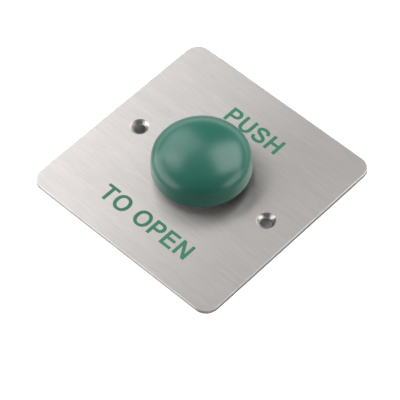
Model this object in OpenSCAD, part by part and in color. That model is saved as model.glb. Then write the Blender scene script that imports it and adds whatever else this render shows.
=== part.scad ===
// Door exit button: a square steel faceplate with a large domed push head. A sprung stem carries the
// head in a threaded barrel and works a double-pole contact block behind the plate.
// The origin is the middle of the plate's back face, where the face of the wall box lies. +Z points
// out of the front and the two fixing holes lie along X. All lengths are in millimetres.

/* [Faceplate] */
// Width and height of the square plate
plate_w = 84; // [80:0.5:90]
// Thickness of the plate
plate_t = 1.5; // [1.2:0.1:2.5]
// Radius of the plate's four corners
plate_corner_r = 5; // [3:0.5:8]
// Bevel around the plate's front edge
plate_edge = 0.3; // [0.1:0.1:0.5]
// Distance between the two fixing holes
fixing_spacing = 60.3; // [60.3:0.1:60.3]
// Diameter of the two fixing holes
fixing_hole_d = 4.2; // [3.8:0.1:4.6]
// Diameter of each countersink at the front face
countersink_d = 6.8; // [6:0.1:7]

/* [Push head] */
// Diameter of the head at its lower rim
head_d = 35.4; // [32:0.2:40]
// How much narrower the head's radius is at its shoulder than at its rim
head_draft = 0.3; // [0.1:0.05:0.6]
// Height of the straight skirt below the crown
skirt_h = 4.6; // [4:0.1:8]
// Height of the elliptical crown above the skirt
crown_h = 8.5; // [8:0.1:11]
// Wall of the head's moulded shell
head_wall = 2; // [1.5:0.1:2.5]
// Travel of the head, the stem and the contacts
travel = 3; // [2:0.1:4]
// Room left between the head's rim and the plate when it is pushed in
rim_clear = 0.8; // [0.5:0.1:1.5]
// Thickness of the ribs inside the head
rib_t = 1.2; // [0.8:0.1:1.6]
// Number of ribs inside the head
rib_count = 8; // [4:1:12]

/* [Barrel] */
// Width of the barrel's flange outside its thread
flange_w = 3.75; // [3:0.25:5]
// Wall of the barrel around its spring pocket
barrel_wall = 4.3; // [4:0.1:4.6]
// Pitch of the barrel's thread
thread_pitch = 1.5; // [1:0.25:2]
// Thickness of the barrel's front flange
flange_t = 2.2; // [1.6:0.1:2.8]
// Gap between the flange and the inside of the head's skirt
flange_gap = 0.95; // [0.6:0.05:1.5]
// Depth of the spring pocket below the flange's front face
pocket_depth = 8.3; // [6:0.1:9]
// Length of the bore that guides the stem
guide_len = 5; // [4:0.5:6]
// Room between the retaining clip and the barrel's end when the head is pushed in
clip_room = 1.1; // [0.6:0.1:3]
// Thickness of the rubber gasket under the flange
gasket_t = 0.6; // [0.4:0.1:1.2]

/* [Nut and washer] */
// Thickness of the toothed lock washer
washer_t = 0.6; // [0.4:0.1:1]
// Width of the lock washer's ring
washer_w = 2; // [1.5:0.1:2.5]
// Length of the lock washer's teeth
tooth_len = 1.2; // [0.8:0.1:1.6]
// Number of teeth on the lock washer
tooth_count = 18; // [12:1:24]
// Thickness of the lock nut
nut_t = 5; // [4:0.5:6]
// Distance from the barrel to the flats of the lock nut
nut_wall = 3; // [2.5:0.1:4]

/* [Stem and return spring] */
// Step from the head's boss down to the stem
boss_step = 1.2; // [0.8:0.1:1.6]
// Width of the stem's shoulder under the head's boss
stem_shoulder = 1.4; // [1:0.1:1.8]
// Depth of the stem's spigot inside the head's boss
spigot_len = 6; // [5:0.5:7]
// Step from the stem down to its tip, which pushes the contact plunger
stem_tip_step = 1.5; // [1:0.1:2]
// Length of the stem's tip
stem_tip_len = 1.5; // [1:0.5:2]
// Thickness of the retaining clip
clip_t = 0.8; // [0.6:0.1:1]
// How far the clip stands out of the stem
clip_proud = 1.5; // [1:0.1:1.8]
// Depth of the clip's groove in the stem
clip_groove = 0.9; // [0.6:0.1:1.2]
// Wire diameter of the return spring
spring_wire = 0.9; // [0.7:0.1:1]
// Turns of the return spring
spring_turns = 7; // [6:1:8]
// Length of the head's boss below the spring's seat
boss_len = 4.5; // [4:0.5:6]
// Room between the flange's front face and the spring's seat when the head is pushed in
seat_clear = 4.2; // [3.5:0.1:5]

/* [Contact block] */
// Wall of the carrier's threaded collar
collar_wall = 2.5; // [2:0.1:3]
// Length of the carrier's collar on the barrel
collar_grip = 5.5; // [4.5:0.5:6]
// Thickness of the carrier's base plate
carrier_t = 2.2; // [1.8:0.1:3]
// Diameter of the contact plunger
plunger_d = 7; // [6:0.5:8]
// Thickness of the contact block's front wall
ceiling_t = 2; // [1.6:0.1:2.4]
// Wall between the contact chamber and the terminal bays
chamber_wall = 1.6; // [1.4:0.1:2]
// Wall along the long sides of the contact block
side_wall = 2.1; // [1.8:0.1:3]
// Thickness of the block's back cover
cover_t = 2; // [1.6:0.1:2.4]
// Depth of the seat that the back cover drops into
cover_step = 0.5; // [0.4:0.1:0.6]
// Height of the posts that carry the lower contacts
post_h = 3.6; // [3:0.1:5]
// Thickness of the brass contact strips
strip_t = 0.8; // [0.6:0.1:1]
// Width of the brass contact strips
strip_w = 4.4; // [4:0.1:5]
// Gap between the two rows of contact strips
strip_gap = 4.4; // [4:0.1:5]
// Height of the fixed contact tips
tip_h = 0.6; // [0.4:0.1:0.8]
// Height of the moving contact tips
bridge_tip_h = 0.4; // [0.3:0.1:0.6]
// Diameter of the contact tips
tip_d = 2.6; // [2:0.1:3]
// Thickness of the moving bridge
bridge_t = 0.8; // [0.6:0.1:1]
// Wire diameter of the contact spring
contact_wire = 0.4; // [0.35:0.05:0.5]
// Turns of the contact spring
contact_turns = 6; // [5:1:7]

/* [Terminals] */
// Length of the open bay around each terminal screw
bay_len = 5.8; // [5.6:0.1:7]
// Room beside the contact strip on each side of a bay
bay_side = 1.1; // [0.9:0.1:1.4]
// Diameter of the terminal screws' thread
screw_d = 3; // [2.5:0.1:3.2]
// Diameter of the terminal screws' heads
screw_head_d = 5.2; // [4.8:0.1:5.4]
// Height of the terminal screws' heads
screw_head_h = 1.8; // [1.4:0.1:2.2]
// Length of the terminal screws below their heads
screw_len = 4; // [3.6:0.1:4.4]
// Thickness of the wire clamp plates
clamp_t = 0.9; // [0.7:0.1:1.2]
// Diameter of the two screws that hold the block to its carrier
case_screw_d = 2.4; // [2:0.1:2.6]
// Diameter of those screws' heads
case_screw_head_d = 4.2; // [3.8:0.1:4.4]
// Height of those screws' heads
case_screw_head_h = 1.6; // [1.2:0.1:2]
// Wall around those screws in the block's lugs
lug_wall = 1.6; // [1.3:0.1:2]

/* [Clearances] */
// Radial running clearance of the stem and the plunger
running_clear = 0.05; // [0.03:0.01:0.08]
// Radial clearance where one fixed piece drops into another
fit_clear = 0.05; // [0.02:0.01:0.1]
// Free space beside a coiled spring
spring_clear = 0.3; // [0.2:0.05:0.4]
// Free space between a moving piece and its neighbour
moving_clear = 0.3; // [0.3:0.05:0.6]

/* [Hidden] */
$fn = 64;

// A small overlap that lets a cut pass through a face
cut = 1;

// Radii
head_r = head_d / 2;
shoulder_r = head_r - head_draft;
flange_r = head_r - head_wall - flange_gap;
barrel_r = flange_r - flange_w;
pocket_r = barrel_r - barrel_wall;
spring_outer_r = pocket_r - spring_clear;
spring_r = spring_outer_r - spring_wire / 2;
boss_r = spring_outer_r - spring_wire - spring_clear;
hub_r = spring_outer_r + head_wall;
stem_r = boss_r - boss_step;
stem_tip_r = stem_r - stem_tip_step;
guide_r = stem_r + running_clear;
spigot_r = stem_r - stem_shoulder;
clip_r = stem_r + clip_proud;
groove_r = stem_r - clip_groove;
plunger_r = plunger_d / 2;
plunger_collar_r = plunger_r + 0.8;
neck_r = plunger_r / 2;
carrier_hole_r = max(stem_r, plunger_r) + 3 * spring_clear;
nut_r = barrel_r + nut_wall;
plate_hole_r = barrel_r + spring_clear;
thread_depth = thread_pitch * 0.54;

// Heights in front of the wall plane
z_flange_low = plate_t + gasket_t;
z_flange_top = z_flange_low + flange_t;
z_rim = plate_t + travel + rim_clear;
z_shoulder = z_rim + skirt_h;
z_seat = z_flange_top + travel + seat_clear;
z_boss = z_seat - boss_len;

// Heights inside the barrel
z_ledge_top = z_flange_top - pocket_depth;
z_ledge_low = z_ledge_top - guide_len;
z_clip_top = z_ledge_low - fit_clear;
z_barrel_end = z_clip_top - clip_t - fit_clear - travel - clip_room;
z_stem_end = z_barrel_end - 0.5;

// Heights of the contact block, from its front wall down to its back cover
z_case_top = z_stem_end - travel - 0.5;
z_chamber = z_case_top - ceiling_t;
z_upper_tip = z_chamber - strip_t - tip_h;
z_bridge_top = z_upper_tip - bridge_tip_h;
z_bridge_low = z_bridge_top - bridge_t;
z_lower_tip = z_bridge_low - bridge_tip_h - travel;
z_lower_strip = z_lower_tip - tip_h;
z_pad_low = z_lower_strip - strip_t;
z_cover = z_pad_low - post_h;
z_case_low = z_cover - cover_t;
z_clamp_low = z_pad_low - clamp_t;
z_neck_end = z_bridge_low - 2.4;
z_pin_top = z_neck_end - travel - moving_clear;
z_carrier_top = z_case_top + carrier_t;

// Plan of the contact block
strip_y = (strip_gap + strip_w) / 2;
strip_x0 = plunger_collar_r + moving_clear;
tip_x = strip_x0 + tip_d / 2 + 0.5;
bridge_x = tip_x + tip_d / 2 + 0.7;
chamber_x = bridge_x + 1;
bay_x0 = chamber_x + chamber_wall;
screw_x = bay_x0 + screw_head_d / 2 + moving_clear;
case_x = bay_x0 + bay_len;
pad_x1 = case_x - moving_clear;
chamber_y = strip_y + strip_w / 2 + moving_clear;
case_y = chamber_y + side_wall;
bay_half = strip_w / 2 + bay_side;
case_screw_y = chamber_y + 2 * cover_step + case_screw_head_d / 2 + fit_clear;
lug_r = case_screw_d / 2 + lug_wall;
contact_spring_r = neck_r + contact_wire / 2 + spring_clear + running_clear;

// A bar with a square section, from corner to corner
module block(low, high) {
    translate(low)
        cube(high - low);
}

// A tube from one height to another
module tube(outer, inner, low, high) {
    difference() {
        translate([0, 0, low])
            cylinder(h = high - low, r = outer);
        translate([0, 0, low - cut])
            cylinder(h = high - low + 2 * cut, r = inner);
    }
}

// A square with round corners
module rounded_square(side, r) {
    square([side, side - 2 * r], center = true);
    square([side - 2 * r, side], center = true);
    for (x = [-1, 1], y = [-1, 1])
        translate([x * (side / 2 - r), y * (side / 2 - r)])
            circle(r = r);
}

// A thin layer with round corners whose sides lean in at 45 degrees
module bevelled_layer(side, r, h) {
    for (turn = [0, 90])
        rotate([90, 0, turn])
            linear_extrude(height = side - 2 * r, center = true)
                polygon([[-side / 2, 0], [side / 2, 0], [side / 2 - h, h], [-side / 2 + h, h]]);
    for (x = [-1, 1], y = [-1, 1])
        translate([x * (side / 2 - r), y * (side / 2 - r), 0])
            cylinder(h = h, r1 = r, r2 = r - h);
}

// The cut for one fixing screw: a bore with a 90 degree countersink
module fixing_hole() {
    sink = (countersink_d - fixing_hole_d) / 2;
    translate([0, 0, -cut])
        cylinder(h = plate_t + 2 * cut, d = fixing_hole_d);
    translate([0, 0, plate_t - sink])
        cylinder(h = sink + cut, d1 = fixing_hole_d, d2 = countersink_d + 2 * cut);
}

module faceplate() {
    color("gainsboro")
        difference() {
            union() {
                linear_extrude(height = plate_t - plate_edge)
                    rounded_square(plate_w, plate_corner_r);
                translate([0, 0, plate_t - plate_edge])
                    bevelled_layer(plate_w, plate_corner_r, plate_edge);
            }
            translate([0, 0, -cut])
                cylinder(h = plate_t + 2 * cut, r = plate_hole_r);
            for (side = [-1, 1])
                translate([side * fixing_spacing / 2, 0, 0])
                    fixing_hole();
        }
}

module front_gasket() {
    color("dimgray")
        tube(flange_r - 0.3, plate_hole_r, plate_t, z_flange_low);
}

// The barrel's outline from the end of its tube up to its flange, with a groove at each turn
thread_turns = floor((z_flange_low - z_barrel_end - thread_pitch) / thread_pitch);
thread_outline = [
    for (i = [0 : thread_turns - 1], half = [0, 1])
        [
            barrel_r - (half == 0 ? 0 : thread_depth),
            z_barrel_end + 0.5 + (i + half / 2) * thread_pitch
        ]
];

module threaded_barrel() {
    outline = concat(
        [[pocket_r, z_barrel_end], [barrel_r - 0.5, z_barrel_end]],
        thread_outline,
        [
            [barrel_r, z_barrel_end + 0.5 + thread_turns * thread_pitch],
            [barrel_r, z_flange_low],
            [flange_r, z_flange_low],
            [flange_r, z_flange_top - 0.6],
            [flange_r - 0.6, z_flange_top],
            [pocket_r + 0.5, z_flange_top],
            [pocket_r, z_flange_top - 0.5],
            [pocket_r, z_ledge_top],
            [guide_r, z_ledge_top],
            [guide_r, z_ledge_low],
            [pocket_r, z_ledge_low]
        ]
    );
    color("#262626")
        rotate_extrude()
            polygon(outline);
}

module lock_washer() {
    ring_r = barrel_r + spring_clear + washer_w;
    color("silver")
        difference() {
            union() {
                translate([0, 0, -washer_t])
                    cylinder(h = washer_t, r = ring_r);
                for (i = [0 : tooth_count - 1])
                    rotate([0, 0, i * 360 / tooth_count])
                        translate([0, 0, -washer_t])
                            linear_extrude(height = washer_t)
                                polygon([
                                    [ring_r - 0.5, -1.2],
                                    [ring_r + tooth_len, -0.5],
                                    [ring_r + tooth_len, 0.9],
                                    [ring_r - 0.5, 1.2]
                                ]);
            }
            translate([0, 0, -washer_t - cut])
                cylinder(h = washer_t + 2 * cut, r = barrel_r + spring_clear);
        }
}

module lock_nut() {
    corner_r = nut_r / cos(30);
    chamfer = corner_r - nut_r;
    low = -washer_t - nut_t;
    color("#303030")
        difference() {
            intersection() {
                translate([0, 0, low])
                    cylinder(h = nut_t, r = corner_r, $fn = 6);
                rotate_extrude()
                    polygon([
                        [0, low],
                        [nut_r, low],
                        [corner_r + 0.1, low + chamfer * 0.6],
                        [corner_r + 0.1, -washer_t],
                        [0, -washer_t]
                    ]);
            }
            translate([0, 0, low - cut])
                cylinder(h = nut_t + 2 * cut, r = barrel_r + fit_clear);
        }
}

// Points of a quarter ellipse from its widest place up to just short of its top
function crown(r, h, z) = [for (i = [0 : 17]) [r * cos(i * 5), z + h * sin(i * 5)]];

module push_head() {
    outer = concat(
        [[0, z_rim], [head_r - 0.4, z_rim], [head_r, z_rim + 0.4]],
        crown(shoulder_r, crown_h, z_shoulder),
        [[0, z_shoulder + crown_h]]
    );
    inner = concat(
        [[0, z_rim - cut], [head_r - head_wall, z_rim - cut]],
        crown(shoulder_r - head_wall, crown_h - head_wall, z_shoulder),
        [[0, z_shoulder + crown_h - head_wall]]
    );
    color("#3c7a64")
        difference() {
            union() {
                difference() {
                    rotate_extrude($fn = 96)
                        polygon(outer);
                    rotate_extrude($fn = 96)
                        polygon(inner);
                }
                intersection() {
                    rotate_extrude($fn = 96)
                        polygon(outer);
                    union() {
                        translate([0, 0, z_seat])
                            cylinder(h = crown_h + skirt_h, r = hub_r);
                        for (i = [0 : rib_count - 1])
                            rotate([0, 0, i * 360 / rib_count])
                                block(
                                    [hub_r - 0.5, -rib_t / 2, z_shoulder - 1],
                                    [head_r - head_wall + 0.6, rib_t / 2, z_shoulder + crown_h]
                                );
                    }
                }
                translate([0, 0, z_boss])
                    cylinder(h = boss_len + cut, r = boss_r);
            }
            translate([0, 0, z_boss - cut])
                cylinder(h = spigot_len + 0.3 + cut, r = spigot_r + fit_clear);
        }
}

module head_stem() {
    color("#d8d4c8")
        rotate_extrude()
            polygon([
                [0, z_stem_end],
                [stem_tip_r - 0.4, z_stem_end],
                [stem_tip_r, z_stem_end + 0.4],
                [stem_tip_r, z_stem_end + stem_tip_len],
                [stem_r, z_stem_end + stem_tip_len + 0.8],
                [stem_r, z_clip_top - clip_t - fit_clear],
                [groove_r, z_clip_top - clip_t - fit_clear],
                [groove_r, z_clip_top],
                [stem_r, z_clip_top],
                [stem_r, z_boss],
                [spigot_r, z_boss],
                [spigot_r, z_boss + spigot_len - 0.5],
                [spigot_r - 0.5, z_boss + spigot_len],
                [0, z_boss + spigot_len]
            ]);
}

// A spring clip with an open mouth and three inner lands that grip the groove
module retaining_clip() {
    color("silver")
        translate([0, 0, z_clip_top - clip_t])
            linear_extrude(height = clip_t)
                difference() {
                    circle(r = clip_r);
                    circle(r = groove_r + fit_clear);
                    for (turn = [30, 150])
                        rotate(turn)
                            translate([groove_r + 0.3, 0])
                                circle(r = 0.8);
                    translate([0, -clip_r / 2 - cut / 2])
                        square([groove_r * 1.5, clip_r + cut], center = true);
                }
}

// A closed-end helix of round wire. Height runs up one wire width over each end turn
function coil_z(t, turns, wire, low, high) =
    let (
        closed = wire * 1.04,
        open = (high - low - wire - 2 * closed) / (turns - 2)
    )
    low + wire / 2 + (
        t < 1 ? t * closed
        : t > turns - 1 ? closed + (turns - 2) * open + (t - turns + 1) * closed
        : closed + (t - 1) * open
    );

module coil(r, wire, turns, low, high) {
    sides = 8;
    steps = 20;
    rings = turns * steps;
    points = [
        for (i = [0 : rings], k = [0 : sides - 1])
            let (
                a = i * 360 / steps,
                b = k * 360 / sides,
                rho = r + wire / 2 * cos(b)
            )
            [
                rho * cos(a),
                rho * sin(a),
                coil_z(i / steps, turns, wire, low, high) + wire / 2 * sin(b)
            ]
    ];
    walls = [
        for (i = [0 : rings - 1], k = [0 : sides - 1])
            let (n = (k + 1) % sides)
            [i * sides + k, (i + 1) * sides + k, (i + 1) * sides + n, i * sides + n]
    ];
    first = [for (k = [0 : sides - 1]) k];
    last = [for (k = [sides - 1 : -1 : 0]) rings * sides + k];
    polyhedron(points = points, faces = concat(walls, [first, last]), convexity = 10);
}

module return_spring() {
    color("silver")
        coil(spring_r, spring_wire, spring_turns, z_ledge_top, z_seat);
}

module switch_carrier() {
    ring_r = barrel_r + collar_wall;
    color("#2c2c2c")
        difference() {
            union() {
                translate([0, 0, z_case_top])
                    cylinder(h = z_barrel_end + collar_grip - z_case_top, r = ring_r);
                linear_extrude_at(z_case_top, carrier_t)
                    case_outline();
            }
            translate([0, 0, z_barrel_end])
                cylinder(h = collar_grip + cut, r = barrel_r + fit_clear);
            translate([0, 0, z_case_top - cut])
                cylinder(h = z_barrel_end - z_case_top + 2 * cut, r = carrier_hole_r);
            for (side = [-1, 1])
                translate([0, side * case_screw_y, z_case_top - cut])
                    cylinder(h = carrier_t + cut - 0.4, r = case_screw_d / 2 + fit_clear);
        }
}

module linear_extrude_at(z, h) {
    translate([0, 0, z])
        linear_extrude(height = h)
            children();
}

// The contact block's outline: a rectangle with a round lug for each of its two screws
module case_outline() {
    square([2 * case_x, 2 * case_y], center = true);
    for (side = [-1, 1])
        translate([0, side * case_screw_y])
            circle(r = lug_r);
}

module switch_case() {
    color("#e6e2d6")
        difference() {
            linear_extrude_at(z_case_low, z_case_top - z_case_low)
                case_outline();
            // the plunger's guide
            translate([0, 0, z_chamber - cut])
                cylinder(h = ceiling_t + 2 * cut, r = plunger_r + running_clear);
            // the contact chamber and the seat of its cover
            block([-chamber_x, -chamber_y, z_case_low - cut], [chamber_x, chamber_y, z_chamber]);
            block(
                [-chamber_x - cover_step, -chamber_y - cover_step, z_case_low - cut],
                [chamber_x + cover_step, chamber_y + cover_step, z_cover]
            );
            for (x = [-1, 1], y = [-1, 1])
                scale([x, y, 1])
                    terminal_bay(y > 0);
            // the two screws that hold the block to its carrier
            for (side = [-1, 1])
                translate([0, side * case_screw_y, z_case_low - cut]) {
                    cylinder(h = z_case_top - z_case_low + 2 * cut, r = case_screw_d / 2 + fit_clear);
                    cylinder(h = case_screw_head_h + cut, r = case_screw_head_d / 2 + fit_clear);
                }
        }
}

// One open bay for a terminal screw, with the slots its contact strip passes through
module terminal_bay(upper) {
    block(
        [bay_x0, strip_y - bay_half, z_case_low - cut],
        [case_x + cut, strip_y + bay_half, z_lower_strip]
    );
    translate([screw_x, strip_y, z_lower_strip - cut])
        cylinder(h = screw_len + cut, r = screw_d / 2 + spring_clear);
    strip_low = strip_y - strip_w / 2 - fit_clear;
    strip_high = strip_y + strip_w / 2 + fit_clear;
    if (upper) {
        block(
            [chamber_x - cut, strip_low, z_chamber - strip_t - fit_clear],
            [bay_x0, strip_high, z_chamber]
        );
        block(
            [bay_x0 - strip_t - fit_clear, strip_low, z_lower_strip - cut],
            [bay_x0, strip_high, z_chamber]
        );
    } else {
        block(
            [chamber_x - cut, strip_low, z_pad_low - fit_clear],
            [bay_x0 + cut, strip_high, z_lower_strip]
        );
    }
}

module switch_cover() {
    reach_x = chamber_x + cover_step - fit_clear;
    reach_y = chamber_y + cover_step - fit_clear;
    color("#d9d5c8")
        union() {
            block([-reach_x, -reach_y, z_case_low], [reach_x, reach_y, z_cover]);
            translate([0, 0, z_cover - cut])
                cylinder(h = z_pin_top - z_cover + cut, r = neck_r);
            for (x = [-1, 1])
                scale([x, 1, 1])
                    block(
                        [strip_x0, -strip_y - strip_w / 2, z_cover - cut],
                        [chamber_x - moving_clear, -strip_y + strip_w / 2, z_pad_low]
                    );
        }
}

module case_screws() {
    color("silver")
        for (side = [-1, 1])
            translate([0, side * case_screw_y, z_case_low])
                difference() {
                    union() {
                        cylinder(h = case_screw_head_h, r = case_screw_head_d / 2);
                        cylinder(
                            h = z_carrier_top - 0.6 - z_case_low,
                            r = case_screw_d / 2
                        );
                    }
                    screw_slot(case_screw_head_d, case_screw_head_h);
                }
}

// A straight screwdriver slot across a head that faces down
module screw_slot(head_d, head_h) {
    translate([-head_d, -0.35, -cut])
        cube([2 * head_d, 0.7, cut + head_h / 2]);
}

module contact_plunger() {
    color("#b03a2e")
        rotate_extrude()
            polygon([
                [0, z_neck_end],
                [neck_r - 0.3, z_neck_end],
                [neck_r, z_neck_end + 0.3],
                [neck_r, z_bridge_top],
                [plunger_collar_r, z_bridge_top],
                [plunger_collar_r, z_chamber - fit_clear],
                [plunger_r, z_chamber - fit_clear],
                [plunger_r, z_stem_end - 0.6],
                [plunger_r - 0.6, z_stem_end],
                [0, z_stem_end]
            ]);
}

module moving_bridge() {
    arm_half = 1.7;
    color("goldenrod")
        linear_extrude_at(z_bridge_low, bridge_t)
            difference() {
                union() {
                    for (side = [-1, 1])
                        translate([0, side * strip_y])
                            square([2 * bridge_x, 2 * arm_half], center = true);
                    square([2 * plunger_collar_r, 2 * strip_y], center = true);
                }
                circle(r = neck_r + running_clear);
            }
}

module bridge_tips() {
    color("silver")
        for (x = [-1, 1]) {
            translate([x * tip_x, strip_y, z_bridge_top])
                cylinder(h = bridge_tip_h, d = tip_d);
            translate([x * tip_x, -strip_y, z_bridge_low - bridge_tip_h])
                cylinder(h = bridge_tip_h, d = tip_d);
        }
}

module contact_spring() {
    color("silver")
        coil(contact_spring_r, contact_wire, contact_turns, z_cover, z_bridge_low);
}

// A strip with a hole for its terminal screw
module strip(x0, x1, low) {
    difference() {
        block([x0, strip_y - strip_w / 2, low], [x1, strip_y + strip_w / 2, low + strip_t]);
        translate([screw_x, strip_y, low - cut])
            cylinder(h = strip_t + 2 * cut, r = screw_d / 2 + fit_clear);
    }
}

// The upper strip lies against the chamber's front wall and bends down to the terminal's pad
module nc_terminal() {
    color("goldenrod")
        union() {
            strip(strip_x0, bay_x0, z_chamber - strip_t);
            block(
                [bay_x0 - strip_t, strip_y - strip_w / 2, z_pad_low],
                [bay_x0, strip_y + strip_w / 2, z_chamber]
            );
            strip(bay_x0 - strip_t, pad_x1, z_pad_low);
        }
}

// The lower strip is straight and lies on the cover's posts
module no_terminal() {
    color("goldenrod")
        strip(strip_x0, pad_x1, z_pad_low);
}

module nc_terminal_left() {
    mirror([1, 0, 0])
        nc_terminal();
}

module nc_terminal_right() {
    nc_terminal();
}

module no_terminal_left() {
    rotate([0, 0, 180])
        no_terminal();
}

module no_terminal_right() {
    mirror([0, 1, 0])
        no_terminal();
}

module fixed_tips() {
    color("silver")
        for (x = [-1, 1]) {
            translate([x * tip_x, strip_y, z_upper_tip])
                cylinder(h = tip_h, d = tip_d);
            translate([x * tip_x, -strip_y, z_lower_strip])
                cylinder(h = tip_h, d = tip_d);
        }
}

// One copy of a terminal's loose parts in each of the four bays
module at_each_terminal() {
    for (x = [-1, 1], y = [-1, 1])
        translate([x * screw_x, y * strip_y, 0])
            children();
}

module wire_clamps() {
    half = screw_head_d / 2;
    color("#c9c9c4")
        at_each_terminal()
            difference() {
                block([-half, -half - 0.3, z_clamp_low], [half, half + 0.3, z_pad_low]);
                translate([0, 0, z_clamp_low - cut])
                    cylinder(h = clamp_t + 2 * cut, r = screw_d / 2 + fit_clear);
            }
}

module terminal_screws() {
    color("silver")
        at_each_terminal()
            translate([0, 0, z_clamp_low - screw_head_h])
                difference() {
                    union() {
                        cylinder(h = screw_head_h, r1 = screw_head_d / 2 - 0.3, r2 = screw_head_d / 2);
                        cylinder(h = screw_head_h + screw_len, d = screw_d);
                    }
                    screw_slot(screw_head_d, screw_head_h);
                }
}

faceplate();
front_gasket();
threaded_barrel();
lock_washer();
lock_nut();
push_head();
head_stem();
retaining_clip();
return_spring();
switch_carrier();
switch_case();
switch_cover();
case_screws();
contact_plunger();
moving_bridge();
bridge_tips();
contact_spring();
nc_terminal_left();
nc_terminal_right();
no_terminal_left();
no_terminal_right();
fixed_tips();
wire_clamps();
terminal_screws();
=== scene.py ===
"""Door exit button: the surfaces, finishes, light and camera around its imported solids."""

import bmesh
import bpy
import numpy as np
from mathutils import Matrix, Vector
from mathutils.geometry import delaunay_2d_cdt


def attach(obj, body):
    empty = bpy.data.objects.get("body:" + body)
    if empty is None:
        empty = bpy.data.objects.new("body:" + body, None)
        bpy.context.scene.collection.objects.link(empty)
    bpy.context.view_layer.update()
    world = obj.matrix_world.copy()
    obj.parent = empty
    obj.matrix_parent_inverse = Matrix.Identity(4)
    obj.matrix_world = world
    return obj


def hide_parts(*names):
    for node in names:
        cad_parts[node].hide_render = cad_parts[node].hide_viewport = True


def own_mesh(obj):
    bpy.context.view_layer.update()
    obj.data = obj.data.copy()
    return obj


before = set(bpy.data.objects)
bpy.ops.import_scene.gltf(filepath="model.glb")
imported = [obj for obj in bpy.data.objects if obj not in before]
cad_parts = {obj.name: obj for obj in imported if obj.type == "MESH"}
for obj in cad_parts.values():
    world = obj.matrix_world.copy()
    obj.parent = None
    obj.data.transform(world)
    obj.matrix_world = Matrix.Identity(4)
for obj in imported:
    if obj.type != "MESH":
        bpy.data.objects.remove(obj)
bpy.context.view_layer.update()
MM = 0.001
TAU = 2 * np.pi

# Sizes of the source, in millimetres
PLATE_HALF = 42.0
PLATE_T = 1.5
CORNER_R = 5.0
EDGE_R = 0.35
HOLE_X = 30.15
HOLE_R = 2.1
SINK_R = 3.4
CENTRE_HOLE_R = 11.3
RIM_R = 17.7
SHOULDER_R = 17.4
RIM_Z = 5.3
SHOULDER_Z = 9.9
CROWN_H = 8.5
SHELL = 2.0
HUB_R = 8.4
BOSS_R = 5.2
SEAT_Z = 11.5
BOSS_Z = 7.0
SPIGOT_R = 2.6
STEM_R = 4.0
STEM_END = -14.5
BARREL_R = 11.0
FLANGE_R = 14.75
FLANGE_LOW = 2.1
FLANGE_TOP = 4.3
POCKET_R = 6.7
GUIDE_R = 4.05
LEDGE_TOP = -4.0
LEDGE_LOW = -9.0
BARREL_END = -14.0
THREAD_PITCH = 1.5
THREAD_DEPTH = 0.81
WASHER_T = 0.6
WASHER_R = 13.35
WASHER_TEETH = 18
NUT_T = 5.0
NUT_FLAT = 14.0
CASE_COVER = -31.0
BRIDGE_LOW = -22.6


def linear(code):
    """An sRGB hex colour as linear red, green, blue and full alpha."""
    part = np.array([int(code[i : i + 2], 16) for i in (1, 3, 5)]) / 255
    low = part / 12.92
    high = ((part + 0.055) / 1.055) ** 2.4
    return (*np.where(part <= 0.04045, low, high).tolist(), 1.0)


def mesh_from(name, points, faces, sharp=None):
    """A mesh object at the origin from points in millimetres. Edges over sharp degrees stay crisp."""
    data = bpy.data.meshes.new(name)
    data.from_pydata((np.asarray(points, float) * MM).tolist(), [], [list(f) for f in faces])
    data.validate()
    data.update()
    if sharp is None:
        data.shade_flat()
    else:
        data.shade_smooth()
        data.set_sharp_from_angle(angle=np.radians(sharp))
    obj = bpy.data.objects.new(name, data)
    bpy.context.scene.collection.objects.link(obj)
    return obj


def skin(loops, ring=False, caps=True):
    """Points and faces of loops[m, n, 3] joined one to the next: quads round each loop, with the last
    loop joined to the first if ring, or else each end closed by a fan from its middle."""
    loops = np.asarray(loops, float)
    m, n, _ = loops.shape
    points = loops.reshape(-1, 3)
    i = np.arange(m if ring else m - 1)[:, None]
    k = np.arange(n)[None, :]
    here = i * n
    there = ((i + 1) % m) * n
    after = (k + 1) % n
    quads = np.stack([here + k, here + after, there + after, there + k], -1).reshape(-1, 4)
    faces = quads.tolist()
    if not ring and caps:
        ends = np.array([loops[0].mean(0), loops[-1].mean(0)])
        points = np.vstack([points, ends])
        k = np.arange(n)
        low = np.stack([(k + 1) % n, k, np.full(n, m * n)], -1)
        high = np.stack([(m - 1) * n + k, (m - 1) * n + (k + 1) % n, np.full(n, m * n + 1)], -1)
        faces += low.tolist() + high.tolist()
    return points, faces


def join(*parts):
    """Several (points, faces) as one."""
    points, faces, start = [], [], 0
    for p, f in parts:
        points.append(np.asarray(p, float))
        faces += [[start + v for v in face] for face in f]
        start += len(p)
    return np.vstack(points), faces


def turned(profile, count=192, bump=None):
    """A profile of (radius, height) points turned about Z into a closed ring of loops. bump(angle,
    radius, height) may change each point's radius."""
    profile = np.asarray(profile, float)
    angle = np.linspace(0, TAU, count, endpoint=False)
    radius = np.repeat(profile[:, :1], count, 1)
    height = np.repeat(profile[:, 1:], count, 1)
    if bump is not None:
        radius = bump(angle[None, :], radius, height)
    return np.stack([radius * np.cos(angle), radius * np.sin(angle), height], -1)


def rounded(profile, r=0.25, steps=4):
    """A closed profile whose corners are replaced by short curves that start r from the corner: each
    is a quadratic curve with the corner as its middle control point."""
    profile = np.asarray(profile, float)
    out = []
    n = len(profile)
    for i in range(n):
        a, b, c = profile[i - 1], profile[i], profile[(i + 1) % n]
        la, lc = np.linalg.norm(a - b), np.linalg.norm(c - b)
        p = b + (a - b) / la * min(r, la * 0.45)
        q = b + (c - b) / lc * min(r, lc * 0.45)
        t = np.linspace(0, 1, steps + 1)[:, None]
        out.append((1 - t) ** 2 * p + 2 * t * (1 - t) * b + t**2 * q)
    return np.vstack(out)


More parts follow.
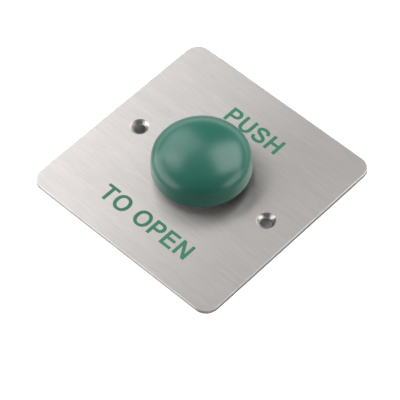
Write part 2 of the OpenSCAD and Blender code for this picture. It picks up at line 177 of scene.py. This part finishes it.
def recalculated(obj):
    """Merges double points and turns the faces outwards."""
    work = bmesh.new()
    work.from_mesh(obj.data)
    bmesh.ops.remove_doubles(work, verts=work.verts, dist=1e-6)
    bmesh.ops.recalc_face_normals(work, faces=work.faces)
    work.to_mesh(obj.data)
    work.free()
    return obj


# Finishes


def add(tree, kind, links=(), inputs=(), **settings):
    """A node in a tree, with its settings, its fixed inputs and its links from other nodes' outputs."""
    node = tree.nodes.new(kind)
    for key, value in settings.items():
        setattr(node, key, value)
    for key, value in dict(inputs).items():
        node.inputs[key].default_value = value
    for key, output in dict(links).items():
        tree.links.new(output, node.inputs[key])
    return node


def plain_finish(name, **sockets):
    """A material with nothing but its main shader, and that shader's tree and inputs."""
    material = bpy.data.materials.new(name)
    material.use_nodes = True
    shader = material.node_tree.nodes["Principled BSDF"].inputs
    for socket, value in sockets.items():
        shader[socket].default_value = value
    return material, material.node_tree, shader


def brushed_stainless():
    """Brushed 304 stainless sheet: a fine satin grain along X that smears reflections across it, along
    Y. The real scratches are about 0.05 mm apart, and are drawn 0.4 mm wide so that they show. The
    countersinks are cut after brushing, so their faces are smoother."""
    material, tree, shader = plain_finish("brushed_stainless", Metallic=1.0, Anisotropic=0.8)
    where = add(tree, "ShaderNodeTexCoord").outputs["Object"]
    noises = []
    # Scratches, wide streaks and a faint cloudiness, in patches for each metre along X, Y and Z
    for scale, detail, rough in (
        ((140, 2500, 1000), 3.0, 0.6),
        ((25, 450, 300), 2.0, 0.5),
        ((30, 40, 40), 2.0, 0.5),
    ):
        stretched = add(tree, "ShaderNodeMapping", {"Vector": where}, {"Scale": scale}).outputs["Vector"]
        sizes = {"Scale": 1.0, "Detail": detail, "Roughness": rough}
        noises.append(add(tree, "ShaderNodeTexNoise", {"Vector": stretched}, sizes).outputs["Fac"])
    scratches, streaks, cloud = noises

    grain = add(tree, "ShaderNodeMath", {0: streaks, 2: scratches}, {1: 0.4}, operation="MULTIPLY_ADD")
    ends = {"From Min": 0.45, "From Max": 0.95}
    amount = add(tree, "ShaderNodeMapRange", {"Value": grain.outputs[0]}, ends).outputs["Result"]
    tones = {"A": linear("#c2bebc"), "B": linear("#cfcbc8")}
    colour = add(tree, "ShaderNodeMix", {"Factor": amount}, tones, data_type="RGBA")
    tree.links.new(colour.outputs["Result"], shader["Base Color"])

    # The distance to the nearer countersink's middle tells the turned face from the brushed one
    ends = {"From Min": 0.3, "From Max": 0.7, "To Min": 0.47, "To Max": 0.53}
    satin = add(tree, "ShaderNodeMapRange", {"Value": cloud}, ends).outputs["Result"]
    spot = add(tree, "ShaderNodeVectorMath", {0: where}, operation="ABSOLUTE").outputs[0]
    hole = {1: (HOLE_X * MM, 0.0, PLATE_T * MM)}
    reach = add(tree, "ShaderNodeVectorMath", {0: spot}, hole, operation="DISTANCE").outputs["Value"]
    ends = {"From Min": (SINK_R + 0.02) * MM, "From Max": (SINK_R + 0.06) * MM}
    cut = add(tree, "ShaderNodeMapRange", {"Value": reach}, ends).outputs["Result"]
    rough = add(tree, "ShaderNodeMix", {"Factor": cut, "B": satin}, {"A": 0.33})
    tree.links.new(rough.outputs["Result"], shader["Roughness"])

    across = add(tree, "ShaderNodeCombineXYZ", (), {"Y": 1.0})
    tree.links.new(across.outputs[0], shader["Tangent"])
    relief = add(tree, "ShaderNodeBump", {"Height": scratches}, {"Distance": 0.002 * MM, "Strength": 1.0})
    tree.links.new(relief.outputs["Normal"], shader["Normal"])
    return material


def patchy(name, first, second, patches, detail, stretch=(1, 1, 1), **sockets):
    """A finish whose colour drifts between two hex values in patches, so many to the metre. Returns
    what plain_finish does, then the object coordinates and the patches' strength."""
    material, tree, shader = plain_finish(name, **sockets)
    where = add(tree, "ShaderNodeTexCoord").outputs["Object"]
    where = add(tree, "ShaderNodeMapping", {"Vector": where}, {"Scale": stretch}).outputs["Vector"]
    noise = add(tree, "ShaderNodeTexNoise", {"Vector": where}, {"Scale": patches, "Detail": detail})
    patch = noise.outputs["Fac"]
    ends = {"From Min": 0.3, "From Max": 0.7}
    amount = add(tree, "ShaderNodeMapRange", {"Value": patch}, ends).outputs["Result"]
    tones = {"A": linear(first), "B": linear(second)}
    colour = add(tree, "ShaderNodeMix", {"Factor": amount}, tones, data_type="RGBA")
    tree.links.new(colour.outputs["Result"], shader["Base Color"])
    return material, tree, shader, where, patch


def moulded(name, first, second, roughness, grain_mm, depth_mm):
    """Moulded plastic: an even colour with a faint flow pattern, 11 mm wide, and the tool's fine grain."""
    material, tree, shader, where, _ = patchy(name, first, second, 90.0, 2.0, Roughness=roughness, IOR=1.5)
    noise = add(tree, "ShaderNodeTexNoise", {"Vector": where}, {"Scale": 1000.0 / grain_mm})
    relief = {"Distance": depth_mm * MM, "Strength": 1.0}
    bump = add(tree, "ShaderNodeBump", {"Height": noise.outputs["Fac"]}, relief)
    tree.links.new(bump.outputs["Normal"], shader["Normal"])
    return material


def metal(name, first, second, roughness, patch_mm, stretch=(1, 1, 1)):
    """Plated or bare metal: patches of slightly different tone and roughness, with relief 2 microns
    deep. A stretch below 1 draws the patches out in that direction."""
    patches = 1000.0 / patch_mm
    material, tree, shader, _, patch = patchy(name, first, second, patches, 3.0, stretch, Metallic=1.0)
    ends = {"From Min": 0.3, "From Max": 0.7, "To Min": roughness * 0.8, "To Max": roughness * 1.3}
    drift = add(tree, "ShaderNodeMapRange", {"Value": patch}, ends)
    tree.links.new(drift.outputs["Result"], shader["Roughness"])
    bump = add(tree, "ShaderNodeBump", {"Height": patch}, {"Distance": 0.002 * MM, "Strength": 1.0})
    tree.links.new(bump.outputs["Normal"], shader["Normal"])
    return material


STAINLESS = brushed_stainless()
# ABS, polished mould: deep bluish green with a clean gloss
GREEN_ABS = moulded("green_abs", "#296455", "#2d6a5b", 0.29, 0.9, 0.002)
# Screen ink: thin, flat and slightly matt
GREEN_INK = moulded("green_screen_ink", "#206f50", "#257757", 0.5, 0.3, 0.003)
# Glass-filled nylon: nearly black, with a dull grainy face
NYLON = moulded("glass_filled_nylon", "#17181a", "#1e1f21", 0.5, 0.25, 0.012)
# Acetal: waxy off-white
ACETAL = moulded("natural_acetal", "#d6d1c2", "#ddd9cc", 0.32, 0.6, 0.003)
# Urea moulding: ivory, hard and slightly matt
IVORY = moulded("ivory_urea", "#cfc8b4", "#d6d0be", 0.38, 0.4, 0.006)
# Polyester: signal red, satin
RED_PBT = moulded("red_polyester", "#8f1d14", "#9a241a", 0.33, 0.5, 0.004)
# EPDM: black rubber with no gloss
RUBBER = moulded("epdm_rubber", "#0f0f10", "#171718", 0.75, 0.2, 0.01)
# Zinc plating: bluish silver, slightly cloudy
ZINC = metal("zinc_plating", "#b4bac0", "#cdd1d4", 0.26, 1.2)
# Drawn spring wire: mid grey, with a soft even shine
WIRE = metal("spring_wire", "#8a8c8f", "#a7a9ab", 0.3, 0.8)
# Rolled brass strip: warm yellow, with marks drawn out along X
BRASS = metal("rolled_brass", "#b9924a", "#cfa960", 0.28, 1.5, (0.3, 1, 1))
# Silver contact faces, lightly tarnished
SILVER = metal("contact_silver", "#c4c2bb", "#dddcd8", 0.24, 0.7)


def finish_piece(obj, body, node, material):
    """Gives a piece its material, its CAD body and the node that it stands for."""
    obj.data.materials.clear()
    obj.data.materials.append(material)
    if node is not None:
        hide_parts(node)
    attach(obj, body)
    return obj


# Faceplate


def plate_outline(inset, arc=16):
    """The plate's rounded square, moved in by inset: four arcs joined by straight sides."""
    centre = PLATE_HALF - CORNER_R
    turn = np.linspace(0, np.pi / 2, arc + 1)
    corners = []
    for i in range(4):
        a = turn + i * np.pi / 2
        diagonal = (i + 0.5) * np.pi / 2
        middle = centre * np.sqrt(2) * np.array([np.cos(diagonal), np.sin(diagonal)])
        corners.append(middle + (CORNER_R - inset) * np.stack([np.cos(a), np.sin(a)], -1))
    return np.vstack(corners)


def circle(r, x=0.0, count=96):
    """Points of a circle of radius r about (x, 0)."""
    a = np.linspace(0, TAU, count, endpoint=False)
    return np.stack([x + r * np.cos(a), r * np.sin(a)], -1)


def lifted(flat, z):
    """Flat points at height z."""
    return np.column_stack([flat, np.full(len(flat), z)])


def flat_face(outline, holes, z):
    """Triangles that fill an outline except its holes, at height z."""
    loops = [outline, *holes]
    points = np.vstack(loops)
    starts = np.cumsum([0] + [len(p) for p in loops])
    edges = []
    for s, p in zip(starts, loops):
        n = len(p)
        edges += [(int(s + i), int(s + (i + 1) % n)) for i in range(n)]
    verts, _, tris, *_ = delaunay_2d_cdt([Vector(p) for p in points], edges, [], 0, 1e-7)
    verts = np.array(verts)
    tris = np.array([list(t) for t in tris])
    middle = verts[tris].mean(1)
    keep = inside(middle, outline)
    for hole in holes:
        keep &= ~inside(middle, hole)
    return lifted(verts, z), tris[keep].tolist()


def inside(points, outline):
    """True for each point within a closed outline, by counting the sides to its right."""
    a = outline
    b = np.roll(outline, -1, 0)
    x, y = points[:, :1], points[:, 1:]
    crosses = (a[:, 1] > y) != (b[:, 1] > y)
    with np.errstate(divide="ignore", invalid="ignore"):
        at = a[:, 0] + (y - a[:, 1]) / (b[:, 1] - a[:, 1]) * (b[:, 0] - a[:, 0])
    return (np.where(crosses, x < at, False).sum(1) % 2) == 1


def make_plate():
    """The sheet: a rolled front edge, a centre hole and two countersunk holes with broken edges."""
    turn = np.linspace(0, np.pi / 2, 7)
    edge = [(EDGE_R * (1 - np.sin(a)), PLATE_T - EDGE_R * (1 - np.cos(a))) for a in turn]
    wall = [lifted(plate_outline(i), z) for i, z in edge]
    wall += [lifted(plate_outline(0), 0.12), lifted(plate_outline(0.12), 0)]
    parts = [skin(np.array(wall)[::-1], caps=False)]
    holes_front = [circle(CENTRE_HOLE_R)]
    holes_back = [circle(CENTRE_HOLE_R)]
    centre_hole = [lifted(circle(CENTRE_HOLE_R), z) for z in (PLATE_T, 0)]
    parts.append(skin(np.array(centre_hole), caps=False))
    sink_z = PLATE_T - (SINK_R - HOLE_R)
    for x in (-HOLE_X, HOLE_X):
        steps = [
            (SINK_R + 0.08, PLATE_T),
            (SINK_R, PLATE_T - 0.05),
            (HOLE_R + 0.03, sink_z + 0.03),
            (HOLE_R, sink_z - 0.03),
            (HOLE_R, 0),
        ]
        parts.append(skin(np.array([lifted(circle(r, x), z) for r, z in steps]), caps=False))
        holes_front.append(circle(steps[0][0], x))
        holes_back.append(circle(HOLE_R, x))
    parts.append(flat_face(plate_outline(EDGE_R), holes_front, PLATE_T))
    parts.append(flat_face(plate_outline(0.12), holes_back, 0))
    obj = recalculated(mesh_from("plate", *join(*parts)))
    obj.data.shade_smooth()
    obj.data.set_sharp_from_angle(angle=np.radians(35))
    weigh = obj.modifiers.new("even_faces", "WEIGHTED_NORMAL")
    weigh.keep_sharp = True
    return obj


# Push head


def make_head():
    """The moulded head: a turned shell with a straight skirt and an elliptical crown, a hub and boss
    inside it, and eight ribs from the hub to the skirt."""
    a = np.radians(np.linspace(0, 90, 41))
    crown = np.column_stack([SHOULDER_R * np.cos(a), SHOULDER_Z + CROWN_H * np.sin(a)])
    crown[-1, 0] = 0.02
    inner_r, inner_h = SHOULDER_R - SHELL, CROWN_H - SHELL
    b = np.radians(np.linspace(0, 90, 41))
    under = np.column_stack([inner_r * np.cos(b), SHOULDER_Z + inner_h * np.sin(b)])
    under = under[under[:, 0] > HUB_R][::-1]
    skirt_top = np.array([(SHOULDER_R + 0.13, SHOULDER_Z - 2), (SHOULDER_R, SHOULDER_Z)])
    lip = rounded([(RIM_R - 1, RIM_Z), (RIM_R, RIM_Z), skirt_top[0]], 0.45, 6)[7:-7]
    spigot_end = BOSS_Z + 6.3
    profile = np.vstack([
        lip,
        np.linspace(*skirt_top, 5)[:-1],
        crown,
        [(0.02, spigot_end), (SPIGOT_R, spigot_end), (SPIGOT_R, BOSS_Z + 0.2), (SPIGOT_R + 0.2, BOSS_Z)],
        [(BOSS_R - 0.3, BOSS_Z), (BOSS_R, BOSS_Z + 0.3), (BOSS_R, SEAT_Z)],
        [(HUB_R - 0.3, SEAT_Z), (HUB_R, SEAT_Z + 0.3)],
        under,
        [(inner_r + 0.25, RIM_Z + 0.3), (inner_r + 0.5, RIM_Z)],
    ])
    shell = skin(turned(profile, 256), ring=True)
    ribs = []
    low, high = SHOULDER_Z - 1, SHOULDER_Z + 6.2
    for i in range(8):
        turn = Matrix.Rotation(i * TAU / 8, 3, "Z")
        x = np.linspace(HUB_R - 0.3, inner_r + 0.3, 12)
        top = SHOULDER_Z + (inner_h + 0.5) * np.sqrt(np.clip(1 - (x / (inner_r + 0.6)) ** 2, 0, 1))
        edge = np.r_[np.full(12, low), np.minimum(top, high)[::-1]]
        side = np.column_stack([np.r_[x, x[::-1]], np.zeros(24), edge])
        pair = np.array([side - (0, 0.55, 0), side + (0, 0.55, 0)])
        points, faces = skin(pair)
        ribs.append((points @ np.array(turn).T, faces))
    return recalculated(mesh_from("head", *join(shell, *ribs), sharp=40))


head = make_head()
finish_piece(head, "button", "push_head", GREEN_ABS)
plate = make_plate()
finish_piece(plate, "wall_unit", "faceplate", STAINLESS)


# Barrel, gasket, washer and nut


def thread(angle, radius, height):
    """A vee groove that climbs one pitch each turn, on the barrel's outer wall only: its depth is a
    triangle wave of height less angle, and it fades out near both ends."""
    phase = (height / THREAD_PITCH - angle / TAU) % 1
    groove = np.clip(2 * np.abs(phase - 0.5) - 0.12, 0, 1)
    low = np.clip((height - BARREL_END - 0.5) / 0.8, 0, 1)
    high = np.clip((FLANGE_LOW - 0.3 - height) / 0.8, 0, 1)
    depth = THREAD_DEPTH * (1 - groove) * low * high
    return np.where(abs(radius - BARREL_R) < 0.01, radius - depth, radius)


wall_z = np.linspace(BARREL_END + 0.5, FLANGE_LOW, 180)
barrel_profile = np.vstack([
    [(POCKET_R, BARREL_END), (BARREL_R - 0.5, BARREL_END)],
    np.column_stack([np.full(180, BARREL_R), wall_z]),
    rounded([(FLANGE_R, FLANGE_LOW), (FLANGE_R, FLANGE_TOP), (POCKET_R, FLANGE_TOP)], 0.4)[:10],
    [(POCKET_R + 0.5, FLANGE_TOP), (POCKET_R, FLANGE_TOP - 0.5), (POCKET_R, LEDGE_TOP)],
    [(GUIDE_R + 0.2, LEDGE_TOP), (GUIDE_R, LEDGE_TOP - 0.2), (GUIDE_R, LEDGE_LOW), (POCKET_R, LEDGE_LOW)],
])
barrel = recalculated(mesh_from("barrel", *skin(turned(barrel_profile, 160, thread), ring=True), sharp=35))
finish_piece(barrel, "wall_unit", "threaded_barrel", NYLON)

gasket_r = FLANGE_R - 0.3
gasket_profile = rounded([
    (CENTRE_HOLE_R, PLATE_T), (gasket_r, PLATE_T), (gasket_r, FLANGE_LOW), (CENTRE_HOLE_R, FLANGE_LOW),
], 0.12)
gasket = recalculated(mesh_from("gasket", *skin(turned(gasket_profile), ring=True), sharp=40))
finish_piece(gasket, "wall_unit", "front_gasket", RUBBER)


def teeth(angle, radius, height):
    """Eighteen teeth round the washer's outer edge, as a rounded square wave of its radius."""
    wave = np.clip(0.5 + 1.4 * np.cos(WASHER_TEETH * angle), 0, 1)
    return np.where(radius > WASHER_R - 0.85, radius + 1.1 * wave, radius)


washer_profile = rounded([
    (CENTRE_HOLE_R, -WASHER_T), (WASHER_R, -WASHER_T), (WASHER_R, 0), (CENTRE_HOLE_R, 0),
], 0.1, 2)
washer_ring = turned(washer_profile, WASHER_TEETH * 16, teeth)
washer = recalculated(mesh_from("lock_washer", *skin(washer_ring, ring=True), sharp=30))
finish_piece(washer, "wall_unit", "lock_washer", ZINC)


def hexagon(angle, radius, height):
    """A nut's outer wall: the smaller of the hexagon's own radius and a cone that chamfers its back."""
    spot = (angle + np.pi / 6) % (np.pi / 3) - np.pi / 6
    flats = NUT_FLAT / np.cos(spot)
    cone = NUT_FLAT + (height + WASHER_T + NUT_T) * 1.73
    wall = np.minimum(flats, np.maximum(cone, NUT_FLAT)) - (NUT_FLAT - radius)
    return np.where(radius > NUT_FLAT - 0.1, wall, radius)


nut_low = -WASHER_T - NUT_T
nut_profile = np.vstack([
    [(BARREL_R + 0.05, -WASHER_T - 0.4), (BARREL_R + 0.05, nut_low + 0.4), (BARREL_R + 0.45, nut_low)],
    np.column_stack([np.full(8, NUT_FLAT), np.linspace(nut_low, nut_low + 1.3, 8)]),
    [(NUT_FLAT, -WASHER_T - 0.2), (NUT_FLAT - 0.09, -WASHER_T), (BARREL_R + 0.45, -WASHER_T)],
])
nut = recalculated(mesh_from("lock_nut", *skin(turned(nut_profile, 6 * 32, hexagon), ring=True), sharp=25))
finish_piece(nut, "wall_unit", "lock_nut", NYLON)


# Stem, clip and springs


def coil(name, r, wire, turns, low, high, steps=40, sides=12):
    """A round wire carried along a helix with one closed turn at each end: height climbs one wire width
    over each end turn and evenly between them."""
    t = np.linspace(0, turns, turns * steps + 1)
    closed = wire * 1.04
    pitch = (high - low - wire - 2 * closed) / (turns - 2)
    climb = closed + (turns - 2) * pitch
    rise = np.interp(t, [0, 1, turns - 1, turns], [0, closed, climb, climb + closed])
    a, b = t[:, None] * TAU, np.linspace(0, TAU, sides, endpoint=False)[None, :]
    rho = r + wire / 2 * np.cos(b)
    z = low + wire / 2 + rise[:, None] + wire / 2 * np.sin(b)
    loops = np.stack([rho * np.cos(a), rho * np.sin(a), z + 0 * a], -1)
    return recalculated(mesh_from(name, *skin(loops), sharp=60))


def make_stem():
    """The stem: a turned acetal rod with a shoulder, a spigot, a groove for its clip and a reduced tip."""
    groove_low, groove_high = -9.9, -9.05
    groove_r = STEM_R - 0.9
    profile = rounded([
        (0.02, STEM_END), (2.5, STEM_END), (2.5, STEM_END + 1.5), (STEM_R, STEM_END + 2.3),
        (STEM_R, groove_low), (groove_r, groove_low), (groove_r, groove_high), (STEM_R, groove_high),
        (STEM_R, BOSS_Z), (SPIGOT_R, BOSS_Z), (SPIGOT_R - 0.05, BOSS_Z + 6), (0.02, BOSS_Z + 6),
    ], 0.2, 3)
    return recalculated(mesh_from("stem", *skin(turned(profile, 96), ring=True), sharp=35))


finish_piece(make_stem(), "button", "head_stem", ACETAL)
main_spring = coil("return_spring", 5.95, 0.9, 7, LEDGE_TOP, SEAT_Z)
finish_piece(main_spring, "wall_unit", "return_spring", WIRE)
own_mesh(main_spring)
small_spring = coil("contact_spring", 2.3, 0.4, 6, CASE_COVER, BRIDGE_LOW)
finish_piece(small_spring, "wall_unit", "contact_spring", WIRE)
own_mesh(small_spring)


# Moulded, pressed and turned pieces that keep their solids' shape, with their edges broken


def dressed(name, node, body, slot, material, width):
    """A copy of a node's mesh, merged, with its flat faces joined and each crisp edge rounded."""
    obj = bpy.data.objects.new(name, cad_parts[node].data.copy())
    bpy.context.scene.collection.objects.link(obj)
    work = bmesh.new()
    work.from_mesh(obj.data)
    bmesh.ops.remove_doubles(work, verts=work.verts, dist=1e-6)
    bmesh.ops.dissolve_limit(work, angle_limit=np.radians(0.5), verts=work.verts, edges=work.edges)
    work.to_mesh(obj.data)
    work.free()
    obj.data.shade_smooth()
    obj.data.set_sharp_from_angle(angle=np.radians(30))
    if width:
        bevel = obj.modifiers.new("broken_edges", "BEVEL")
        bevel.width = width * MM
        bevel.segments = 2
        bevel.limit_method = "ANGLE"
        bevel.angle_limit = np.radians(35)
        bevel.harden_normals = False
        bevel.use_clamp_overlap = True
    weigh = obj.modifiers.new("even_faces", "WEIGHTED_NORMAL")
    weigh.keep_sharp = True
    return finish_piece(obj, body, node, material)


DRESSED = [
    ("clip", "retaining_clip", "button", "spring_steel", WIRE, 0.08),
    ("carrier", "switch_carrier", "wall_unit", "black_plastic", NYLON, 0.2),
    ("block_case", "switch_case", "wall_unit", "case_plastic", IVORY, 0.15),
    ("block_cover", "switch_cover", "wall_unit", "case_plastic", IVORY, 0.12),
    ("block_screws", "case_screws", "wall_unit", "plated_steel", ZINC, 0.08),
    ("plunger", "contact_plunger", "contacts", "plunger_plastic", RED_PBT, 0.1),
    ("bridge", "moving_bridge", "contacts", "contact_brass", BRASS, 0.06),
    ("bridge_contacts", "bridge_tips", "contacts", "contact_silver", SILVER, 0.06),
    ("closed_strip_left", "nc_terminal_left", "wall_unit", "contact_brass", BRASS, 0.06),
    ("closed_strip_right", "nc_terminal_right", "wall_unit", "contact_brass", BRASS, 0.06),
    ("open_strip_left", "no_terminal_left", "wall_unit", "contact_brass", BRASS, 0.06),
    ("open_strip_right", "no_terminal_right", "wall_unit", "contact_brass", BRASS, 0.06),
    ("fixed_contacts", "fixed_tips", "wall_unit", "contact_silver", SILVER, 0.06),
    ("clamps", "wire_clamps", "wall_unit", "plated_steel", ZINC, 0.08),
    ("clamp_screws", "terminal_screws", "wall_unit", "plated_steel", ZINC, 0.08),
]
for row in DRESSED:
    dressed(*row)


# Legend


def arc(x, y, rx, ry, start, end, steps=20, power=2.0):
    """Points of an ellipse's arc between two angles in degrees; a power over 2 squares its shoulders."""
    a = np.radians(np.linspace(start, end, steps))
    c, s = np.cos(a), np.sin(a)
    bend = 2 / power
    return np.column_stack([x + rx * np.sign(c) * abs(c) ** bend, y + ry * np.sign(s) * abs(s) ** bend])


def ribbon(points, half, steps=12):
    """The outline of a stroke of even width along a smooth curve through points: each span is a cubic
    that keeps its neighbours' directions, moved out along its normals to both sides."""
    p = np.asarray(points, float)
    p = np.vstack([2 * p[0] - p[1], p, 2 * p[-1] - p[-2]])
    t = np.linspace(0, 1, steps, endpoint=False)[:, None]
    a, b, c, d = p[:-3, None], p[1:-2, None], p[2:-1, None], p[3:, None]
    path = 0.5 * (2 * b + (c - a) * t + (2 * a - 5 * b + 4 * c - d) * t**2 + (3 * b - a - 3 * c + d) * t**3)
    path = np.vstack([path.reshape(-1, 2), p[-2]])
    ahead = np.gradient(path, axis=0)
    ahead /= np.linalg.norm(ahead, axis=1)[:, None]
    side = np.column_stack([-ahead[:, 1], ahead[:, 0]]) * half
    return np.vstack([path + side, (path - side)[::-1]])


# Bold block capitals, one unit high: advance, outline, holes
LETTERS = {
    "H": (1.008, [
        (0.102, 0), (0.102, 1), (0.304, 1), (0.304, 0.61), (0.702, 0.61), (0.702, 1),
        (0.904, 1), (0.904, 0), (0.702, 0), (0.702, 0.43), (0.304, 0.43), (0.304, 0),
    ], []),
    "T": (0.853, [
        (0.029, 1), (0.827, 1), (0.827, 0.83), (0.53, 0.83),
        (0.53, 0), (0.326, 0), (0.326, 0.83), (0.029, 0.83),
    ], []),
    "E": (0.932, [
        (0.102, 0), (0.102, 1), (0.845, 1), (0.845, 0.83), (0.304, 0.83), (0.304, 0.61),
        (0.81, 0.61), (0.81, 0.44), (0.304, 0.44), (0.304, 0.168), (0.865, 0.168), (0.865, 0),
    ], []),
    "N": (1.008, [
        (0.102, 0), (0.102, 1), (0.297, 1), (0.712, 0.33), (0.712, 1),
        (0.9, 1), (0.9, 0), (0.7, 0), (0.289, 0.655), (0.289, 0),
    ], []),
    "P": (0.932, [
        (0.102, 1), (0.102, 0), (0.304, 0), (0.304, 0.377), *arc(0.56, 0.688, 0.312, 0.312, -90, 90),
    ], [
        [(0.304, 0.832), (0.304, 0.545), *arc(0.53, 0.688, 0.135, 0.144, -90, 90)],
    ]),
    "U": (1.008, [
        (0.099, 1), *arc(0.499, 0.385, 0.4, 0.402, 180, 360), (0.899, 1), (0.697, 1),
        *arc(0.499, 0.4, 0.198, 0.245, 360, 180), (0.301, 1),
    ], []),
    "O": (1.087, arc(0.545, 0.5, 0.485, 0.517, 0, 352.5, 48, 2.2), [
        arc(0.545, 0.5, 0.28, 0.345, 0, 352.5, 48, 2.2),
    ]),
    "S": (0.932, ribbon([
        (0.755, 0.705), (0.69, 0.86), (0.46, 0.925), (0.24, 0.87), (0.165, 0.735), (0.25, 0.605),
        (0.46, 0.52),
        (0.68, 0.425), (0.765, 0.285), (0.69, 0.13), (0.46, 0.075), (0.22, 0.135), (0.135, 0.31),
    ], 0.096), []),
    " ": (0.388, None, []),
}


def printed(name, words, middle, base, cap):
    """A line of ink 0.02 mm thick on the plate: letters cap high on a base line, centred on middle."""
    pen = middle - sum(LETTERS[c][0] for c in words) * cap / 2
    low, high = PLATE_T + 0.002, PLATE_T + 0.02
    parts = []
    for c in words:
        advance, outline, holes = LETTERS[c]
        if outline is not None:
            place = [np.asarray(o, float) * cap + (pen, base) for o in (outline, *holes)]
            parts.append(flat_face(place[0], place[1:], high))
            parts.append(flat_face(place[0], place[1:], low))
            parts += [skin(np.array([lifted(o, low), lifted(o, high)]), caps=False) for o in place]
        pen += advance * cap
    obj = recalculated(mesh_from(name, *join(*parts)))
    return finish_piece(obj, "wall_unit", None, GREEN_INK)


printed("legend_upper", "PUSH", 0.95, 22.5, 6.6)
printed("legend_lower", "TO OPEN", 0.4, -31.0, 6.6)


# Floor, light and camera


CAMERA_AT = Vector((313.77, -309.97, 587.95)) * MM
CAMERA_RIGHT = Vector((0.72556, 0.68767, -0.02581))
CAMERA_UP = Vector((-0.54413, 0.59627, 0.59024))
CAMERA_BACK = CAMERA_RIGHT.cross(CAMERA_UP)


def make_camera():
    """The photograph's camera, worked out from the plate's edges, corners and holes."""
    data = bpy.data.cameras.new("camera")
    data.sensor_width = 36.0
    data.lens = 36.0 * 2121.7 / 400
    data.clip_end = 100
    obj = bpy.data.objects.new("camera", data)
    turn = Matrix((CAMERA_RIGHT, CAMERA_UP, CAMERA_BACK)).transposed()
    obj.matrix_world = Matrix.Translation(CAMERA_AT) @ turn.to_4x4()
    bpy.context.scene.collection.objects.link(obj)
    bpy.context.scene.camera = obj


def make_floor():
    """A sheet of grey card, well below the part and behind it as the camera sees it."""
    z, half = -400.0, 500.0
    along = (z * MM - CAMERA_AT.z) / CAMERA_BACK.z
    x, y, _ = (CAMERA_AT + CAMERA_BACK * along) / MM
    corners = [(x + a * half, y + b * half, z) for a, b in ((-1, -1), (1, -1), (1, 1), (-1, 1))]
    obj = mesh_from("floor", corners, [(0, 1, 2, 3)])
    material, _, shader = plain_finish("grey_card", Roughness=1.0)
    shader["Base Color"].default_value = linear("#595959")
    obj.data.materials.append(material)
    obj.visible_glossy = False
    obj.visible_diffuse = False
    return obj


def area_light(name, at, facing, width, height, power, shape="RECTANGLE"):
    """An area light at a place that shines against facing. Its size is in millimetres."""
    data = bpy.data.lights.new(name, "AREA")
    data.shape = shape
    data.size = width * MM
    data.size_y = height * MM
    data.energy = power
    obj = bpy.data.objects.new(name, data)
    obj.location = at
    obj.rotation_mode = "QUATERNION"
    obj.rotation_quaternion = facing.to_track_quat("Z", "Y")
    bpy.context.scene.collection.objects.link(obj)
    return obj


def softbox(name, azimuth, elevation, distance, width, height, power):
    """A softbox that faces the plate's middle from a direction and a distance in millimetres."""
    a, e = np.radians(azimuth), np.radians(elevation)
    back = Vector((np.sin(a) * np.cos(e), -np.cos(a) * np.cos(e), np.sin(e)))
    return area_light(name, back * distance * MM, back, width, height, power)


def light_floor(floor, others):
    """A lamp beside the camera that lights the floor alone, to pure white, and keeps the others off it.
    The part's soft shadow falls straight behind it, where only the fixing holes show it."""
    lamp = area_light("floor_lamp", CAMERA_AT, CAMERA_BACK, 56, 56, 380.0, "DISK")
    only = bpy.data.collections.new("floor_only")
    only.objects.link(floor)
    lamp.light_linking.receiver_collection = only
    without = bpy.data.collections.new("all_but_floor")
    without.objects.link(floor)
    without.collection_objects[0].light_linking.link_state = "EXCLUDE"
    for light in others:
        light.light_linking.receiver_collection = without


def make_world():
    """White to the camera. To light and reflections it is a dim room whose walls are bright near the
    horizon on the side away from the camera, with a grey ground."""
    world = bpy.data.worlds.new("room")
    bpy.context.scene.world = world
    world.use_nodes = True
    tree = world.node_tree
    tree.nodes.clear()
    where = add(tree, "ShaderNodeTexCoord").outputs["Generated"]
    up = add(tree, "ShaderNodeSeparateXYZ", {0: where}).outputs["Z"]

    # Height above the horizon, from -1 to 1, picks the bright band
    rise = add(tree, "ShaderNodeMapRange", {"Value": up}, {"From Min": -1.0}).outputs["Result"]
    height = add(tree, "ShaderNodeFloatCurve", {"Value": rise})
    curve = height.mapping.curves[0]
    curve.points[0].location = (0.0, 0.0)
    curve.points[1].location = (1.0, 0.0)
    for x, y in ((0.46, 0.0), (0.5, 1.0), (0.515, 1.0), (0.58, 0.0)):
        curve.points.new(x, y)
    height.mapping.update()

    # The side away from the camera is the bright one
    away = {1: (-0.7071, 0.7071, 0.0)}
    side = add(tree, "ShaderNodeVectorMath", {0: where}, away, operation="DOT_PRODUCT").outputs["Value"]
    ends = {"From Min": -0.5, "From Max": 0.6, "To Max": 2.6}
    wall = add(tree, "ShaderNodeMapRange", {"Value": side}, ends).outputs["Result"]
    ends = {"From Min": -0.15, "From Max": 0.0, "To Min": 0.45, "To Max": 0.08}
    ground = add(tree, "ShaderNodeMapRange", {"Value": up}, ends).outputs["Result"]
    parts = {0: height.outputs["Value"], 1: wall, 2: ground}
    band = add(tree, "ShaderNodeMath", parts, operation="MULTIPLY_ADD").outputs["Value"]

    plain = {"Color": (1, 1, 1, 1)}
    room = add(tree, "ShaderNodeBackground", {"Strength": band}, plain).outputs[0]
    white = add(tree, "ShaderNodeBackground", (), plain).outputs[0]
    ray = add(tree, "ShaderNodeLightPath").outputs["Is Camera Ray"]
    mix = add(tree, "ShaderNodeMixShader", {0: ray, 1: room, 2: white}).outputs[0]
    add(tree, "ShaderNodeOutputWorld", {"Surface": mix})


make_camera()
studio = [
    softbox("window_left", -98, 43, 500, 420, 400, 1.3),
    softbox("high_left", -64, 50, 500, 260, 260, 0.35),
    softbox("window_back", 160, 49, 500, 420, 440, 2.3),
    softbox("low_left", -42, 12, 500, 760, 340, 2.1),
    softbox("low_right", 112, 15, 500, 400, 260, 0.85),
]
light_floor(make_floor(), studio)
make_world()
bpy.context.scene.view_settings.view_transform = "Standard"
bpy.context.scene.view_settings.look = "None"
